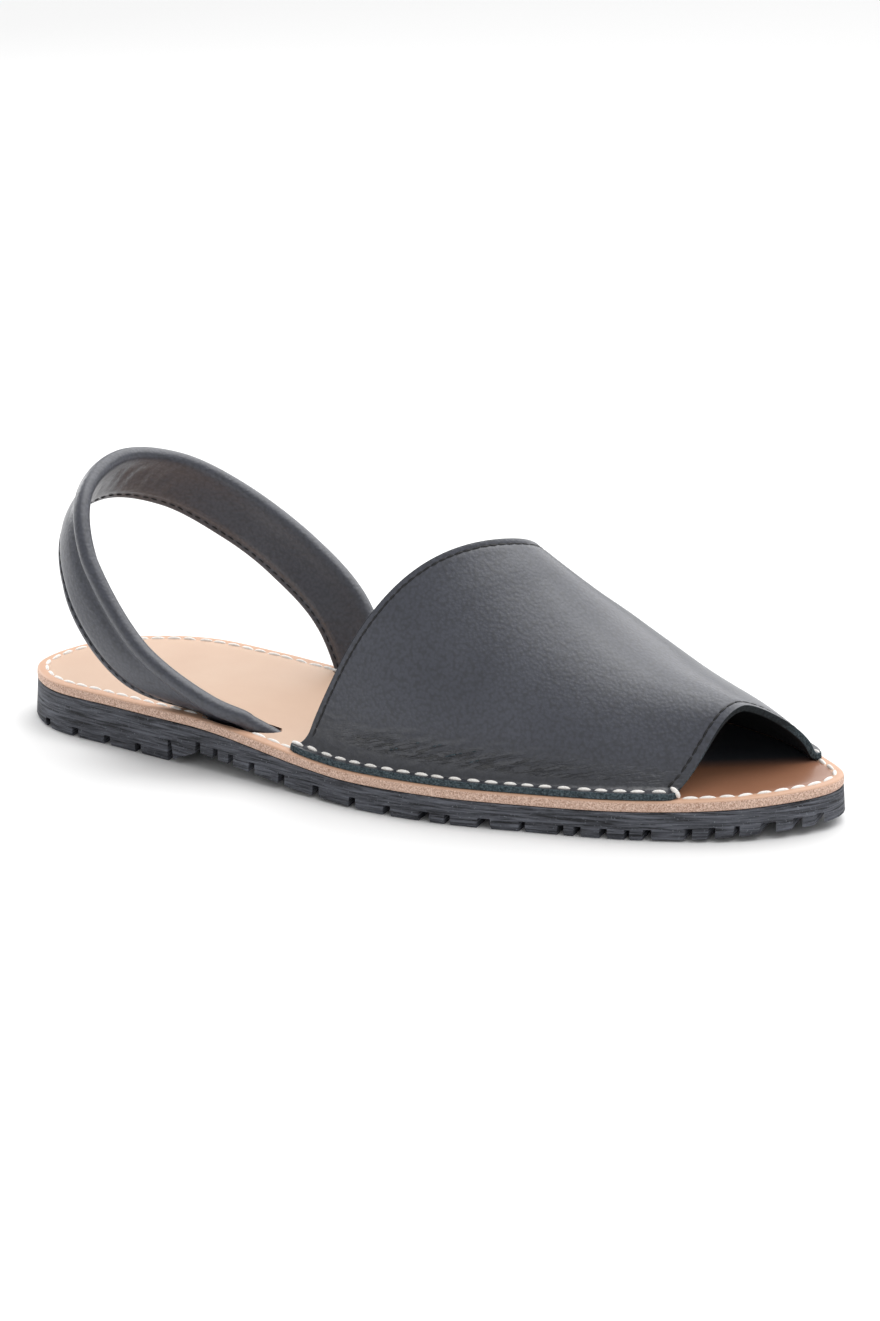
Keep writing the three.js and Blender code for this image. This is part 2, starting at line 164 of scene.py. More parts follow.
# The cut edge from the underside up, and the channel pressed for the seam, each row (inset, height or dip)
CUT_EDGE = [
    (0.35, UNDERSIDE), (0.0, 0.3), (-0.05, 1.2), (0.0, 2.2), (0.12, 2.62), (0.4, 2.88), (0.85, BOARD_THICK)]
SEAM_CHANNEL = [
    (1.6, 0), (2.3, 0), (2.8, 0.08), (3.2, 0.2), (3.6, 0.2), (4.0, 0.08), (4.7, 0), (DEEP_IN, 0)]
MIDDLE = np.array([123.5, 0.727, 0])
OUTLINE = [
    dict(at=0.00, outer=0.097, inner=-0.097),
    dict(at=0.05, outer=0.281, inner=0.222),
    dict(at=0.15, outer=0.337, inner=0.345),
    dict(at=0.30, outer=0.401, inner=0.303),
    dict(at=0.42, outer=0.453, inner=0.335),
    dict(at=0.50, outer=0.490, inner=0.388),
    dict(at=0.60, outer=0.481, inner=0.460),
    dict(at=0.70, outer=0.424, inner=0.507),
    dict(at=0.80, outer=0.356, inner=0.490),
    dict(at=0.90, outer=0.241, inner=0.372),
    dict(at=0.97, outer=0.091, inner=0.200),
    dict(at=1.00, outer=-0.064, inner=0.064),
]


def turn_at(share):
    return math.acos(1 - 2 * share)


for row in OUTLINE:
    row["turn"] = turn_at(row["at"])


def column(rows, key, name, place):
    """Smooth value of one column of a table whose rows are ordered by the column called key."""
    last = len(rows) - 1
    i = 0
    while i < last - 1 and place > rows[i + 1][key]:
        i += 1

    def slope(k):
        a, b = rows[max(k - 1, 0)], rows[min(k + 1, last)]
        return (b[name] - a[name]) / (b[key] - a[key])

    span = rows[i + 1][key] - rows[i][key]
    t = min(max((place - rows[i][key]) / span, 0), 1)
    rise = rows[i + 1][name] - rows[i][name]
    a = slope(i) * span - rise
    b = rise - slope(i + 1) * span
    return rows[i][name] + rise * t + t * (1 - t) * (a * (1 - t) + b * t)


def edge(side, turn, inset=0.0):
    """Point of the board's edge in mm, set in by inset; side is -1 outer, 1 inner."""
    name = "outer" if side < 0 else "inner"

    def point(t):
        across = side * SOLE_WIDTH * column(OUTLINE, "turn", name, t)
        return np.array([SOLE_LENGTH * (1 - math.cos(t)) / 2, across])

    step = 0.02
    along = point(min(turn + step, math.pi)) - point(max(turn - step, 0))
    along /= np.linalg.norm(along)
    outward = np.array([-side * along[1], side * along[0]])
    if turn <= 0 or turn >= math.pi:
        outward = np.array([-math.cos(turn), 0])
    return point(turn) - outward * inset


def smooth_step(x, low, high):
    t = np.clip((x - low) / (high - low), 0, 1)
    return t * t * (3 - 2 * t)


def rubber_top(x):
    share = x / SOLE_LENGTH
    spring = np.clip((share - 0.674) / 0.326, 0, 1)
    drop = smooth_step(share, 0.254, 0.469)
    return HEEL_RUBBER + (BALL_RUBBER - HEEL_RUBBER) * drop + TOE_SPRING * spring ** 2


def board_top(x):
    return rubber_top(x) + SEAT + BOARD_THICK


def grid_piece(name, points, uv):
    """A grid whose vertices are taken to points, [row, column, xyz] in mm from the heel's end."""
    rows, columns = points.shape[:2]
    bpy.ops.object.select_all(action="DESELECT")
    bpy.ops.mesh.primitive_grid_add(x_subdivisions=columns - 1, y_subdivisions=rows - 1, size=1)
    piece = bpy.context.object
    piece.name = name
    mesh = piece.data
    flat = np.empty(len(mesh.vertices) * 3)
    mesh.vertices.foreach_get("co", flat)
    flat = flat.reshape(-1, 3)
    i = np.rint((flat[:, 0] + 0.5) * (columns - 1)).astype(int)
    j = np.rint((flat[:, 1] + 0.5) * (rows - 1)).astype(int)
    mesh.vertices.foreach_set("co", ((points[j, i] - MIDDLE) * MM).ravel())
    corner = np.empty(len(mesh.loops), int)
    mesh.loops.foreach_get("vertex_index", corner)
    mesh.uv_layers[0].data.foreach_set("uv", uv[j, i][corner].ravel())
    mesh.update()
    return piece


def ring_of_edge(inset, steps=110):
    """Closed ring round the board at an inset, from the heel along the inner side and back."""
    turns = [math.pi * k / steps for k in range(steps + 1)]
    inner = [edge(1, t, inset) for t in turns]
    outer = [edge(-1, t, inset) for t in turns[-2:0:-1]]
    return np.array(inner + outer + [inner[0]])


def spine_of(ring):
    """The middle line that the ring's two sides close on."""
    count = len(ring) - 1
    partner = [(count - k) % count for k in range(count)] + [0]
    return (ring + ring[partner]) / 2


RIM = ring_of_edge(0)
deep = ring_of_edge(DEEP_IN)
spine = spine_of(deep)
half_way = len(spine) // 2 + 1
held = np.clip(spine[:, 0], POLE_IN, SOLE_LENGTH - POLE_IN)
spine = np.column_stack([held, np.interp(held, spine[:half_way, 0], spine[:half_way, 1])])
board_rows = []
board_uv = []
around = np.concatenate([[0], np.cumsum(np.linalg.norm(np.diff(RIM, axis=0), axis=1))])


def board_row(flat, height, inset):
    z = board_top(flat[:, 0]) - BOARD_THICK + height
    board_rows.append(np.column_stack([flat, z]))
    board_uv.append(np.column_stack([around * MM * 10, np.full(len(flat), inset * MM * 10)]))


board_row(spine, UNDERSIDE, FAR_FROM_RIM)
board_row(ring_of_edge(4), UNDERSIDE, FAR_FROM_RIM)
for inset, height in CUT_EDGE:
    board_row(ring_of_edge(inset), height, inset if height > 2.5 else height - BOARD_THICK)
for inset, dip in SEAM_CHANNEL:
    board_row(ring_of_edge(inset), BOARD_THICK - dip, inset)
for share in (0.12, 0.25, 0.4, 0.55, 0.7, 0.85, 1.0):
    board_row(deep + (spine - deep) * share, BOARD_THICK, DEEP_IN + 25 * share)
board = grid_piece("leather_footbed", np.array(board_rows), np.array(board_uv))
edit_all(
    board,
    (bpy.ops.mesh.remove_doubles, {"threshold": 0.01 * MM}),
    (bpy.ops.mesh.normals_make_consistent, {"inside": False}),
)

STRAP_WIDTH = 18.5
STRAP_HEIGHT = 73
STRAP_ROLL = 2.4
STRAP_TUCK = 9
SLOT_CLEARANCE = 0.7
SLOT_FRAMES = 16
STRAP_ROWS = [
    dict(ahead=0.317, side=-0.308, up=0.177, lean=-60),
    dict(ahead=0.284, side=-0.368, up=0.252, lean=-58),
    dict(ahead=0.189, side=-0.405, up=0.412, lean=-14),
    dict(ahead=0.113, side=-0.350, up=0.718, lean=12),
    dict(ahead=0.083, side=-0.213, up=0.929, lean=32),
    dict(ahead=0.086, side=0.019, up=0.997, lean=30),
    dict(ahead=0.128, side=0.216, up=0.933, lean=18),
    dict(ahead=0.191, side=0.331, up=0.786, lean=2),
    dict(ahead=0.265, side=0.353, up=0.620, lean=-11),
    dict(ahead=0.335, side=0.322, up=0.430, lean=-24),
    dict(ahead=0.384, side=0.270, up=0.174, lean=-31),
]


def unit(v):
    return v / np.linalg.norm(v, axis=-1, keepdims=True)


def strap_path():
    """The strap's middle line in mm, its ends run on down into the slots."""
    scale = [SOLE_LENGTH, SOLE_WIDTH, STRAP_HEIGHT]
    points = [np.array([row["ahead"], row["side"], row["up"]]) * scale for row in STRAP_ROWS]
    for end in (points[0], points[-1]):
        end[2] = board_top(end[0]) - 0.7 * BOARD_THICK
    first = points[0] + unit(points[0] - points[1]) * STRAP_TUCK
    last = points[-1] + unit(points[-1] - points[-2]) * STRAP_TUCK
    return [first, *points, last]


def curve_at(points, place):
    """Centripetal curve through points; place runs from 0 to 1, evenly over the points."""
    spot = min(max(place, 0), 1) * (len(points) - 1)
    k = min(int(spot), len(points) - 2)
    t = spot - k
    b, c = points[k], points[k + 1]
    a = points[k - 1] if k > 0 else 2 * b - c
    d = points[k + 2] if k + 2 < len(points) else 2 * c - b
    ab, bc, cd = (math.sqrt(np.linalg.norm(q - p)) for p, q in ((a, b), (b, c), (c, d)))
    into = ((b - a) / ab - (c - a) / (ab + bc) + (c - b) / bc) * bc
    out = ((c - b) / bc - (d - b) / (bc + cd) + (d - c) / cd) * bc
    return b + into * t + (3 * (c - b) - 2 * into - out) * t * t + (2 * (b - c) + into + out) * t ** 3


def strap_frames(steps):
    """Centre, width direction and outward direction of the strap at even steps of its path."""
    points = strap_path()
    spans = len(points) - 1
    leans = [dict(place=(k + 1) / spans, lean=row["lean"]) for k, row in enumerate(STRAP_ROWS)]
    frames = []
    for k in range(steps + 1):
        place = k / steps
        centre = curve_at(points, place)
        along = unit(curve_at(points, min(place + 1e-4, 1)) - curve_at(points, max(place - 1e-4, 0)))
        up = unit(np.array([0, 0, 1.0]) - along * along[2])
        level = np.cross(along, up)
        held = min(max(place, leans[0]["place"]), leans[-1]["place"])
        lean = math.radians(column(leans, "place", "lean", held))
        wide = up * math.cos(lean) + level * math.sin(lean)
        frames.append((centre, wide, np.cross(wide, along)))
    return frames


def strap_profile():
    """Closed smooth section in mm, [along the width, outward]: sewn edge, band, groove, roll."""
    half = STRAP_WIDTH / 2
    middle = half - STRAP_ROLL
    outside = [(-half, 0.35), (-half + 0.25, 0.8), (-half + 0.9, 1.05), (-half + 1.6, 1.0)]
    outside += [(-half + 2.1, 0.5)]
    outside += [(-half + 2.5, 0.95), (-half + 3.1, 1.55), (-3.9, 1.9), (-0.8, 1.9), (1.2, 1.6), (2.6, 1.1)]
    outside += [(3.5, 0.75), (4.2, 0.7)]
    bends = np.radians(range(150, -101, -25))
    roll = [(middle + STRAP_ROLL * math.cos(a), STRAP_ROLL * math.sin(a)) for a in bends]
    inside = [(4.7, -2.1), (2.4, -1.75), (-0.5, -1.6), (-3.5, -1.55), (-half + 3.2, -1.45)]
    inside += [(-half + 2.5, -1.1)]
    inside += [(-half + 1.6, -0.85), (-half + 0.5, -0.8), (-half, -0.4)]
    corners = [np.array(p) for p in outside + roll + inside]
    smooth = []
    for k in range(len(corners)):
        around = [corners[(k + shift) % len(corners)] for shift in (-1, 0, 1, 2)]
        smooth += [curve_at(around, (1 + t) / 3) for t in (0, 0.5)]
    return np.array(smooth)


def swept(profile, frames):
    """Rings of the section along the frames, [ring, point, xyz]."""
    return np.array([[c + w * wide + n * out for w, n in profile] for c, wide, out in frames])


section = strap_profile()
turns = np.linspace(0, 2 * math.pi, 25)[:-1]
slot_half = STRAP_ROLL + SLOT_CLEARANCE
slot_reach = np.sign(np.cos(turns)) * (STRAP_WIDTH / 2 - STRAP_ROLL)
slot_section = np.column_stack([slot_reach + slot_half * np.cos(turns), slot_half * np.sin(turns)])
slot_frames = strap_frames(90)
for end in (slot_frames[:SLOT_FRAMES], slot_frames[-SLOT_FRAMES:]):
    rings = swept(slot_section, end)
    rings = np.concatenate([rings, rings[:, :1]], axis=1)
    cutter = grid_piece("slot_cutter", rings, np.zeros(rings.shape[:2] + (2,)))
    edit_all(
        cutter,
        (bpy.ops.mesh.remove_doubles, {"threshold": 0.002 * MM}),
        (bpy.ops.mesh.fill_holes, {"sides": 0}),
        (bpy.ops.mesh.normals_make_consistent, {"inside": False}),
    )
    apply_modifier(board, "BOOLEAN", object=cutter, operation="DIFFERENCE", solver="EXACT")
    bpy.data.objects.remove(cutter)

# Smooth tan leather, polished brown at the toe, with a raw speckled suede edge
tan, tree, shader = new_material(
    "tan_insole_leather", Specular_IOR_Level=0.5, Coat_Weight=0.12, Coat_Roughness=0.3)
coords = add_node(tree, "ShaderNodeTexCoord")
place = coords.outputs["Object"]
apart = add_node(tree, "ShaderNodeSeparateXYZ", {"Vector": place})
rim_map = add_node(tree, "ShaderNodeUVMap", uv_map="UVMap")
rim = add_node(tree, "ShaderNodeSeparateXYZ", {"Vector": rim_map.outputs["UV"]})
toe = add_node(tree, "ShaderNodeMapRange", {
    "Value": apart.outputs["X"], "From Min": 0.046, "From Max": 0.086}, interpolation_type="SMOOTHSTEP")
inside = add_node(tree, "ShaderNodeMapRange", {
    "Value": rim.outputs["Y"], "From Min": 0.026, "From Max": 0.036}, interpolation_type="SMOOTHSTEP")
cloud = add_node(tree, "ShaderNodeTexNoise", {
    "Vector": place, "Scale": 38.0, "Detail": 4.0, "Roughness": 0.6})
pale = add_node(tree, "ShaderNodeMix", {
    "Factor": cloud.outputs["Fac"], 6: linear("#c4a38c"), 7: linear("#d3b8a2")}, data_type="RGBA")
brown = add_node(tree, "ShaderNodeMix", {
    "Factor": cloud.outputs["Fac"], 6: linear("#835843"), 7: linear("#a27459")}, data_type="RGBA")
toe_inside = add_node(tree, "ShaderNodeMath", {
    0: toe.outputs[0], 1: inside.outputs[0]}, operation="MULTIPLY")
top = add_node(tree, "ShaderNodeMix", {
    "Factor": toe_inside.outputs[0], 6: pale.outputs[2], 7: brown.outputs[2]}, data_type="RGBA")
# Painted shade: the board on the far half of the toe, beyond a slanting line, is darkened to grey where the
# vamp shades it
shade_line_along = add_node(tree, "ShaderNodeMath", {0: apart.outputs["X"], 1: 0.4226}, operation="MULTIPLY")
shade_line_at = add_node(tree, "ShaderNodeMath", {
    0: apart.outputs["Y"], 1: -0.9063, 2: shade_line_along.outputs[0]}, operation="MULTIPLY_ADD")
under_vamp_shade = add_node(tree, "ShaderNodeMapRange", {
    "Value": shade_line_at.outputs[0], "From Min": 0.030, "From Max": 0.037, "To Min": 1.0, "To Max": 0.0})
under_vamp_shade = add_node(tree, "ShaderNodeMath", {
    0: under_vamp_shade.outputs[0], 1: toe_inside.outputs[0]}, operation="MULTIPLY")
# The grey #44464d is the painted shade under the vamp
top = add_node(tree, "ShaderNodeMix", {
    "Factor": under_vamp_shade.outputs[0], 6: top.outputs[2], 7: linear("#44464d")}, data_type="RGBA")
rim_tone = add_node(tree, "ShaderNodeMix", {
    "Factor": inside.outputs[0], 6: linear("#cba287"), 7: top.outputs[2]}, data_type="RGBA")
speck = add_node(tree, "ShaderNodeTexNoise", {
    "Vector": place, "Scale": 2300.0, "Detail": 3.0, "Roughness": 0.75})
speck_range = add_node(tree, "ShaderNodeMapRange", {
    "Value": speck.outputs["Fac"], "From Min": 0.38, "From Max": 0.64})
suede = add_node(tree, "ShaderNodeMix", {
    "Factor": speck_range.outputs[0], 6: linear("#a9836e"), 7: linear("#efd2c0")}, data_type="RGBA")
cut = add_node(tree, "ShaderNodeMapRange", {
    "Value": rim.outputs["Y"], "From Min": -0.004, "From Max": 0.003})
skin = add_node(tree, "ShaderNodeMix", {
    "Factor": cut.outputs[0], 6: suede.outputs[2], 7: rim_tone.outputs[2]}, data_type="RGBA")
tree.links.new(skin.outputs[2], shader.inputs["Base Color"])
polish_and_shade = add_node(tree, "ShaderNodeMix", {"Factor": toe_inside.outputs[0], 2: 0.52, 3: 0.34})
rough = add_node(tree, "ShaderNodeMix", {"Factor": cut.outputs[0], 2: 0.9, 3: polish_and_shade.outputs[0]})
tree.links.new(rough.outputs[0], shader.inputs["Roughness"])
pores = add_node(tree, "ShaderNodeTexNoise", {"Vector": place, "Scale": 2200.0, "Detail": 3.0})
cut_depth = add_node(tree, "ShaderNodeMix", {"Factor": cut.outputs[0], 2: 0.6, 3: 0.12})
waves = add_node(tree, "ShaderNodeTexNoise", {"Vector": place, "Scale": 55.0, "Detail": 1.5})
wave_bump = add_node(tree, "ShaderNodeBump", {
    "Height": waves.outputs["Fac"], "Strength": 0.35, "Distance": 1.5 * MM})
pore_bump = add_node(tree, "ShaderNodeBump", {
    "Height": pores.outputs["Fac"], "Strength": cut_depth.outputs[0], "Distance": 0.25 * MM,
    "Normal": wave_bump.outputs["Normal"]})
tree.links.new(pore_bump.outputs["Normal"], shader.inputs["Normal"])
board.data.materials.append(tan)
activate(board)
bpy.ops.object.shade_smooth_by_angle(angle=math.radians(40))
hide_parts("footbed")
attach(board, "root")

# Vamp: one broad piece of black leather, 1.9 mm thick, pulled over the foot from side to side.
# Its lower edges are turned out into a flange that is stitched down through footbed and sole.
# Throat and toe are cut edges with one row of black stitching just inside them.
VAMP_HEIGHT = 59
VAMP_THICK = 1.9
VAMP_LAY = 1.05
CUT_ROUND = 0.3
FLANGE_WIDTH = 4.2
EDGE_ROUND = 0.6
FLANGE_TAB = 3.2
THROAT_PEAK = 0.67
THROAT_CURVE = 1.45
THROAT_SOFT = 0.1
VAMP_FEET = {-1: (0.412, 0.853), 1: (0.470, 0.967)}
VAMP_ROWS = [
    dict(row=0.00, crown=0.48, height=0.992, outer_lean=79,
         inner_lean=90, outer_run=0.60, inner_run=0.59, reach=0.710),
    dict(row=0.35, crown=0.45, height=0.733, outer_lean=84,
         inner_lean=86, outer_run=0.53, inner_run=0.52, reach=0.381),
    dict(row=0.70, crown=0.43, height=0.487, outer_lean=72,
         inner_lean=68, outer_run=0.47, inner_run=0.40, reach=0.106),
    dict(row=1.00, crown=0.475, height=0.33, outer_lean=31,
         inner_lean=69, outer_run=0.40, inner_run=0.15, reach=-0.01),
]
ARCH_COLUMNS = 190
FOLD_COLUMNS = 11
VAMP_LINES = 150


def bezier(t, a, b, c, d):
    s = 1 - t
    return s ** 3 * a + 3 * s * s * t * b + 3 * s * t * t * c + t ** 3 * d


def resampled(line, count):
    """The same line with count points, evenly spaced along it."""
    run = np.concatenate([[0], np.cumsum(np.linalg.norm(np.diff(line, axis=0), axis=1))])
    wanted = np.linspace(0, run[-1], count)
    return np.column_stack([np.interp(wanted, run, line[:, k]) for k in range(line.shape[1])])


def vamp_line(row):
    """Middle of the leather across one section, from the inner flange over the foot to the outer one."""
    at = {name: column(VAMP_ROWS, "row", name, row) for name in VAMP_ROWS[0] if name != "row"}
    turns = {side: turn_at(start + (end - start) * row) for side, (start, end) in VAMP_FEET.items()}
    foot = {side: edge(side, turns[side], FLANGE_WIDTH) for side in turns}
    behind = FLANGE_TAB / SOLE_LENGTH * (1 - min(row / 0.08, 1)) ** 2
    tab_turns = {
        side: turn_at(start + (end - start) * row - behind) for side, (start, end) in VAMP_FEET.items()}
    width = np.linalg.norm(foot[1] - foot[-1])
    height = at["height"] * VAMP_HEIGHT

    def over(share, up):
        share = np.asarray(share, float)
        base = board_top(foot[-1][0]) * (1 - share) + board_top(foot[1][0]) * share + VAMP_LAY
        before, after = (THROAT_PEAK - share) / THROAT_PEAK, (share - THROAT_PEAK) / (1 - THROAT_PEAK)
        off = np.where(share < THROAT_PEAK, before, after)
        soft = np.hypot(np.clip(off, 0, 1), THROAT_SOFT) - THROAT_SOFT
        whole = math.hypot(1, THROAT_SOFT) - THROAT_SOFT
        ahead = at["reach"] * VAMP_HEIGHT * (1 - (soft / whole) ** THROAT_CURVE)
        flat = foot[-1] * (1 - share[..., None]) + foot[1] * share[..., None]
        return np.stack([flat[..., 0] + ahead, flat[..., 1], base + up], axis=-1)

    def half(side, t):
        name = "outer" if side < 0 else "inner"
        span = (at["crown"] if side < 0 else 1 - at["crown"]) * width
        lean, run = math.radians(at[name + "_lean"]), at[name + "_run"]
        rise = 0.55 * height
        across = bezier(t, 0, rise * math.cos(lean), span - run * span, span) / width
        up = bezier(t, 0, rise * math.sin(lean), height, height)
        return over(across if side < 0 else 1 - across, up)

    def fold(side):
        corner = min(1, min(row, 1 - row) / 0.05)
        reach = 0.55 + 0.45 * math.sqrt(1 - (1 - corner) ** 2)
        near, far = [edge(side, tab_turns[side], inset) for inset in (FLANGE_WIDTH, EDGE_ROUND)]
        flat = [near + (far - near) * share * reach for share in (1, 0.7, 0.5)]
        points = [np.array([p[0], p[1], board_top(p[0]) + VAMP_LAY]) for p in flat]
        start, knee = points[-1], over(0.0 if side < 0 else 1.0, 0)
        end = half(side, np.array(0.05))
        bend = np.linspace(0.12, 1, 9)
        points += [start * (1 - t) ** 2 + knee * 2 * t * (1 - t) + end * t * t for t in bend]
        return resampled(np.array(points), FOLD_COLUMNS)

    steps = np.linspace(0.05, 1, 60)
    arch = np.concatenate([half(1, steps), half(-1, steps)[-2::-1]])
    return np.concatenate([fold(1)[:-1], resampled(arch, ARCH_COLUMNS), fold(-1)[-2::-1]])


vamp_points = np.array([vamp_line(k / VAMP_LINES) for k in range(VAMP_LINES + 1)])


def normals_of(points):
    across = np.gradient(points, axis=1)
    along = np.gradient(points, axis=0)
    return unit(np.cross(across, along))


def away_from(points, line):
    """Distance in mm of every grid point from a line of points."""
    fine = resampled(line, 500)
    flat = points.reshape(-1, 3)
    least = np.full(len(flat), 1e9)
    for k in range(0, len(fine), 50):
        gap = np.linalg.norm(flat[:, None] - fine[None, k:k + 50], axis=2)
        least = np.minimum(least, gap.min(axis=1))
    return least.reshape(points.shape[:2])


vamp_out = normals_of(vamp_points)
stretch = np.linalg.norm(np.diff(vamp_points, axis=1), axis=2)
from_inner = np.concatenate([np.zeros((len(stretch), 1)), np.cumsum(stretch, axis=1)], axis=1)
outer_up = from_inner[:, -FOLD_COLUMNS:-FOLD_COLUMNS + 1] - from_inner
inner_up = from_inner - from_inner[:, FOLD_COLUMNS - 1:FOLD_COLUMNS]
outer_at = np.repeat(vamp_points[:, -FOLD_COLUMNS, 0][:, None], vamp_points.shape[1], axis=1)
inner_at = np.repeat(vamp_points[:, FOLD_COLUMNS - 1, 0][:, None], vamp_points.shape[1], axis=1)
from_throat = away_from(vamp_points, vamp_points[0])
from_toe = away_from(vamp_points, vamp_points[-1])

# Creases where the leather is pulled down to the seam: place along the sole, height above the fold,
# length, slant to the seam in degrees, and depth; lengths in mm
CREASES = [
    dict(side=-1, at=109, up=6.5, long=9, slant=-4, deep=0.20),
    dict(side=-1, at=112, up=4.3, long=8, slant=-2, deep=0.20),
    dict(side=-1, at=116, up=3.0, long=10, slant=3, deep=0.25),
    dict(side=-1, at=121, up=5.8, long=9, slant=5, deep=0.20),
    dict(side=-1, at=124, up=2.9, long=9, slant=8, deep=0.30),
    dict(side=-1, at=129, up=5.0, long=8, slant=14, deep=0.26),
    dict(side=-1, at=132, up=2.6, long=8, slant=16, deep=0.34),
    dict(side=-1, at=136, up=4.7, long=9, slant=20, deep=0.30),
    dict(side=-1, at=139, up=2.4, long=7, slant=22, deep=0.36),
    dict(side=-1, at=143, up=5.4, long=8, slant=24, deep=0.26),
    dict(side=-1, at=146, up=2.7, long=8, slant=24, deep=0.36),
    dict(side=-1, at=150, up=4.3, long=8, slant=22, deep=0.28),
    dict(side=-1, at=154, up=2.5, long=7, slant=20, deep=0.30),
    dict(side=-1, at=158, up=4.7, long=8, slant=18, deep=0.24),
    dict(side=-1, at=163, up=2.9, long=8, slant=14, deep=0.26),
    dict(side=-1, at=168, up=4.3, long=7, slant=12, deep=0.20),
    dict(side=-1, at=174, up=2.6, long=8, slant=10, deep=0.22),
    dict(side=-1, at=181, up=3.6, long=7, slant=6, deep=0.18),
    dict(side=-1, at=188, up=2.7, long=7, slant=4, deep=0.20),
    dict(side=-1, at=196, up=2.9, long=6, slant=0, deep=0.16),
    dict(side=1, at=128, up=3.6, long=9, slant=4, deep=0.22),
    dict(side=1, at=138, up=5.0, long=9, slant=10, deep=0.22),
    dict(side=1, at=150, up=3.0, long=8, slant=16, deep=0.28),
    dict(side=1, at=163, up=4.3, long=9, slant=20, deep=0.26),
    dict(side=1, at=177, up=2.9, long=8, slant=18, deep=0.28),
    dict(side=1, at=192, up=4.0, long=8, slant=12, deep=0.22),
    dict(side=1, at=208, up=2.9, long=7, slant=6, deep=0.20),
]
lift = np.zeros(vamp_points.shape[:2])
fine = np.random.default_rng(3)
creases = list(CREASES)
for crease in CREASES:
    for step in (-1.7, 1.6, 3.1):
        creases.append({
            **crease, "at": crease["at"] + fine.uniform(-3, 3),
            "up": crease["up"] + step + fine.uniform(-0.3, 0.3),
            "long": crease["long"] * fine.uniform(0.5, 0.8), "slant": crease["slant"] + fine.uniform(-6, 6),
            "deep": crease["deep"] * fine.uniform(0.4, 0.8)})
for crease in creases:
    at_mm, up_mm = (outer_at, outer_up) if crease["side"] < 0 else (inner_at, inner_up)
    slant = math.radians(crease["slant"])
    along = (at_mm - crease["at"]) * math.cos(slant) + (up_mm - crease["up"]) * math.sin(slant)
    aside = (up_mm - crease["up"]) * math.cos(slant) - (at_mm - crease["at"]) * math.sin(slant)
    aside = aside + 0.03 * along ** 2 / crease["long"] * 4
    trough = np.exp(-(aside / 0.55) ** 2) - 0.6 * np.exp(-((aside - 1.0) / 0.6) ** 2)
    lift -= crease["deep"] * trough * np.exp(-(along / (0.5 * crease["long"])) ** 2)
STITCH_PITCH = 5.0
for at_mm, up_mm in ((outer_at, outer_up), (inner_at, inner_up)):
    pull = 0.5 + 0.5 * np.cos(2 * math.pi * at_mm / STITCH_PITCH)
    lift -= 0.22 * pull * np.exp(-((up_mm - 0.4) / 1.8) ** 2)
TOPSTITCH_IN = 1.7
TOE_STITCH_IN = 2.6
lift -= 0.32 * np.exp(-((from_throat - TOPSTITCH_IN) / 0.65) ** 2)
lift -= 0.38 * np.exp(-((from_toe - TOE_STITCH_IN) / 0.65) ** 2)
# Soft unevenness of a hide drawn over a last
rounds = outer_at * 0.061 + 1.3
waves = np.sin(rounds * 2.1 + outer_up * 0.11) * np.sin(outer_up * 0.083 + 0.7)
lift += 0.16 * waves * smooth_step(outer_up, 6, 20)
vamp_points = vamp_points + vamp_out * lift[..., None]
vamp_out = normals_of(vamp_points)

vamp_uv = np.stack([outer_at, np.minimum(outer_up, inner_up)], axis=-1)
vamp = grid_piece("leather_vamp", vamp_points, vamp_uv * MM * 10)

# Black full-grain leather: satin under a thin finish, finely pebbled, with painted shade in its creases, in
# its grain's pits and close to the seam
black, tree, shader = new_material(
    "black_full_grain_leather", Specular_IOR_Level=0.55, Coat_Weight=0.6, Coat_Roughness=0.32)
place = add_node(tree, "ShaderNodeTexCoord").outputs["Object"]
mottle = add_node(tree, "ShaderNodeTexNoise", {
    "Vector": place, "Scale": 45.0, "Detail": 5.0, "Roughness": 0.6})
tint = add_node(tree, "ShaderNodeMix", {
    "Factor": mottle.outputs["Fac"], 6: linear("#2f323d"), 7: linear("#41444f")}, data_type="RGBA")
wear = add_node(tree, "ShaderNodeMapRange", {
    "Value": mottle.outputs["Fac"], "From Min": 0.3, "From Max": 0.7, "To Min": 0.40, "To Max": 0.52})
tree.links.new(wear.outputs[0], shader.inputs["Roughness"])
pebble = add_node(tree, "ShaderNodeTexVoronoi", {"Vector": place, "Scale": 1100.0}, feature="SMOOTH_F1")
grain = add_node(tree, "ShaderNodeTexNoise", {
    "Vector": place, "Scale": 620.0, "Detail": 5.0, "Roughness": 0.7})
skin_lines = add_node(tree, "ShaderNodeMapping", {
    "Vector": place, "Scale": (190, 190, 520)}).outputs["Vector"]
crackle = add_node(tree, "ShaderNodeTexNoise", {
    "Vector": skin_lines, "Scale": 1.0, "Detail": 4.0, "Distortion": 0.6})
surface = add_node(tree, "ShaderNodeMath", {
    0: pebble.outputs["Distance"], 1: grain.outputs["Fac"]}, operation="ADD")
surface = add_node(tree, "ShaderNodeMath", {
    0: surface.outputs[0], 1: crackle.outputs["Fac"]}, operation="ADD")
leather_bump = add_node(tree, "ShaderNodeBump", {
    "Height": surface.outputs[0], "Strength": 0.55, "Distance": 0.25 * MM})
# Fine drawn lines low down on the vamp, where it is pulled to the seam; the map holds mm / 100
drawn_map = add_node(tree, "ShaderNodeUVMap", uv_map="UVMap")
turned = add_node(tree, "ShaderNodeMapping", {
    "Vector": drawn_map.outputs["UV"], "Rotation": (0, 0, math.radians(-17)), "Scale": (1, 1, 1)})
wavy = add_node(tree, "ShaderNodeMapping", {"Vector": turned.outputs["Vector"], "Scale": (22, 125, 1)})
drawn = add_node(tree, "ShaderNodeTexNoise", {
    "Vector": wavy.outputs["Vector"], "Scale": 1.0, "Detail": 2.5, "Roughness": 0.55, "Distortion": 0.35})
lines = add_node(tree, "ShaderNodeMapRange", {
    "Value": drawn.outputs["Fac"], "From Min": 0.36, "From Max": 0.52})
up_at = add_node(tree, "ShaderNodeSeparateXYZ", {"Vector": drawn_map.outputs["UV"]})
